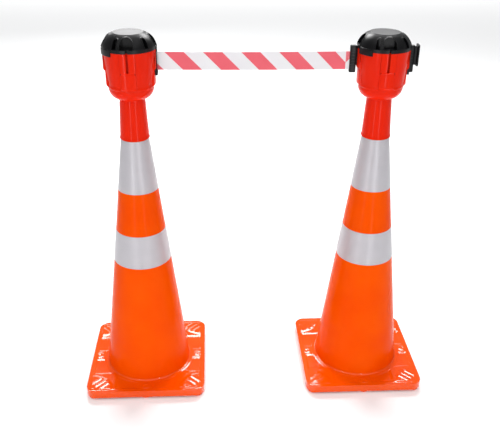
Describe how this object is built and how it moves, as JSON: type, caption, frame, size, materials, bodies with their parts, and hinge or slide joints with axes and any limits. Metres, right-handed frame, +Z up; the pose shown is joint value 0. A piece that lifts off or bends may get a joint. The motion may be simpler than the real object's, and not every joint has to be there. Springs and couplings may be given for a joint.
{
  "type": "traffic barrier",
  "caption": "Crowd and traffic barrier: orange cones with reflective collars, push-on toppers and a striped retractable belt clipped between them.",
  "frame": {"origin": "on the floor, midway between the two cone axes", "axes": "+Z up, +X from the left cone towards the right cone along the belt, -Y is the front"},
  "size_m": [1.042, 0.362, 1.079],
  "materials": {
    "orange_pvc": "glossy soft PVC",
    "reflective_film": "retroreflective film",
    "red_abs": "glossy moulded ABS",
    "black_abs": "satin moulded ABS",
    "zinc_plate": "zinc plated steel",
    "bright_steel": "turned steel",
    "spring_steel": "blued spring steel",
    "white_nylon": "moulded nylon",
    "belt_webbing": "woven polyester, red and white stripes"
  },
  "bodies": {
    "cones": {"left_cone": "orange_pvc", "left_lower_collar": "reflective_film", "left_upper_collar": "reflective_film", "right_cone": "orange_pvc", "right_lower_collar": "reflective_film", "right_upper_collar": "reflective_film"},
    "left_topper": {"left_cup": "red_abs", "left_cap": "black_abs", "left_outlet_liner": "black_abs", "left_base_plate": "zinc_plate", "left_top_plate": "zinc_plate", "left_spacers": "zinc_plate", "left_plate_screws": "zinc_plate", "left_cassette_screws": "zinc_plate", "left_shaft": "bright_steel", "left_circlip": "spring_steel", "left_roller_pins": "bright_steel", "left_belt_lead": "belt_webbing"},
    "left_spool": {"left_spool": "white_nylon", "left_spring_cover": "white_nylon", "left_power_spring": "spring_steel", "left_belt_winding": "belt_webbing"},
    "left_front_roller": {"left_front_roller": "white_nylon"},
    "left_rear_roller": {"left_rear_roller": "white_nylon"},
    "left_clip": {"left_clip": "black_abs", "left_clip_pin": "bright_steel", "left_belt_hem": "belt_webbing"},
    "right_topper": {"right_cup": "red_abs", "right_cap": "black_abs", "right_outlet_liner": "black_abs", "right_base_plate": "zinc_plate", "right_top_plate": "zinc_plate", "right_spacers": "zinc_plate", "right_plate_screws": "zinc_plate", "right_cassette_screws": "zinc_plate", "right_shaft": "bright_steel", "right_circlip": "spring_steel", "right_roller_pins": "bright_steel", "right_belt_lead": "belt_webbing", "right_belt": "belt_webbing"},
    "right_spool": {"right_spool": "white_nylon", "right_spring_cover": "white_nylon", "right_power_spring": "spring_steel", "right_belt_winding": "belt_webbing"},
    "right_front_roller": {"right_front_roller": "white_nylon"},
    "right_rear_roller": {"right_rear_roller": "white_nylon"},
    "right_clip": {"right_clip": "black_abs", "right_clip_pin": "bright_steel", "right_belt_hem": "belt_webbing"},
    "left_belt_run": {"left_belt": "belt_webbing"}
  },
  "joints": [
    {"name": "left_topper_lift", "type": "slide", "parent": "cones", "child": "left_topper", "axis": [0, 0, 1], "range_m": [0, 0.13]},
    {"name": "right_topper_lift", "type": "slide", "parent": "cones", "child": "right_topper", "axis": [0, 0, 1], "range_m": [0, 0.13]},
    {"name": "left_belt_undock", "type": "hinge", "parent": "left_topper", "child": "left_belt_run", "pos_m": [-0.272, 0, 1.015], "axis": [0, -1, 0], "range_deg": [0, 6.5]},
    {"name": "left_belt_retract", "type": "slide", "parent": "left_belt_run", "child": "left_clip", "axis": [1, 0, 0], "range_m": [-0.522, 0], "deforming": ["left_belt"]},
    {"name": "right_belt_pull", "type": "slide", "parent": "right_topper", "child": "right_clip", "axis": [1, 0, 0], "range_m": [0, 2], "stiffness_N_per_m": 1, "springref_m": -6, "deforming": ["right_belt"]},
    {"name": "left_spool_turn", "type": "hinge", "parent": "left_topper", "child": "left_spool", "pos_m": [-0.348, 0, 0.99], "axis": [0, 0, 1], "continuous": true, "deforming": ["left_power_spring"]},
    {"name": "left_front_roller_turn", "type": "hinge", "parent": "left_topper", "child": "left_front_roller", "pos_m": [-0.294, -0.0056, 1], "axis": [0, 0, 1], "continuous": true},
    {"name": "left_rear_roller_turn", "type": "hinge", "parent": "left_topper", "child": "left_rear_roller", "pos_m": [-0.294, 0.0056, 1], "axis": [0, 0, 1], "continuous": true},
    {"name": "right_spool_turn", "type": "hinge", "parent": "right_topper", "child": "right_spool", "pos_m": [0.332, 0, 0.99], "axis": [0, 0, 1], "continuous": true, "deforming": ["right_power_spring"]},
    {"name": "right_front_roller_turn", "type": "hinge", "parent": "right_topper", "child": "right_front_roller", "pos_m": [0.386, -0.0056, 1], "axis": [0, 0, 1], "continuous": true},
    {"name": "right_rear_roller_turn", "type": "hinge", "parent": "right_topper", "child": "right_rear_roller", "pos_m": [0.386, 0.0056, 1], "axis": [0, 0, 1], "continuous": true}
  ],
  "couplings": [
    {"joint": "right_topper_lift", "follows": "left_topper_lift", "ratio": 1},
    {"joint": "left_spool_turn", "follows": "left_belt_retract", "rad_per_m": -36.563},
    {"joint": "left_front_roller_turn", "follows": "left_belt_retract", "rad_per_m": -188.68},
    {"joint": "left_rear_roller_turn", "follows": "left_belt_retract", "rad_per_m": 188.68},
    {"joint": "right_spool_turn", "follows": "right_belt_pull", "rad_per_m": -36.563},
    {"joint": "right_front_roller_turn", "follows": "right_belt_pull", "rad_per_m": -188.68},
    {"joint": "right_rear_roller_turn", "follows": "right_belt_pull", "rad_per_m": 188.68}
  ]
}
